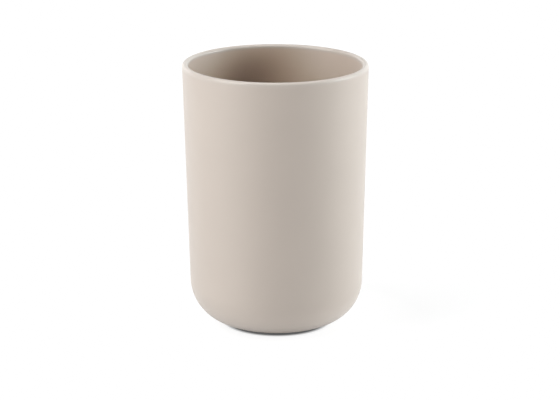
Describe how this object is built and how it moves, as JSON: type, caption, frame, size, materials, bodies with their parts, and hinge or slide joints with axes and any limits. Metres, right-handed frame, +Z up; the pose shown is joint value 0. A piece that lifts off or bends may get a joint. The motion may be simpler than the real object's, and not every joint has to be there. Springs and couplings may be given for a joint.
{
  "type": "bathroom tumbler",
  "caption": "Round bathroom tumbler with a gently tapered thin wall, a full-round lip, a large corner radius at the base and a low foot ring; holds water or toothbrushes.",
  "frame": {"origin": "centre of the foot ring, in the plane that the tumbler stands on", "axes": "+Z up along the cup's axis of revolution, towards the open mouth; X and Y are any two level directions, because the cup is round"},
  "size_m": [0.075, 0.075, 0.103],
  "materials": {
    "matte_taupe_plastic": "fine matte moulded plastic, plain warm taupe, a shade warmer inside; the lip and the foot are rubbed a little smoother and paler"
  },
  "bodies": {
    "root": {"tumbler_body": "matte_taupe_plastic"}
  },
  "joints": []
}
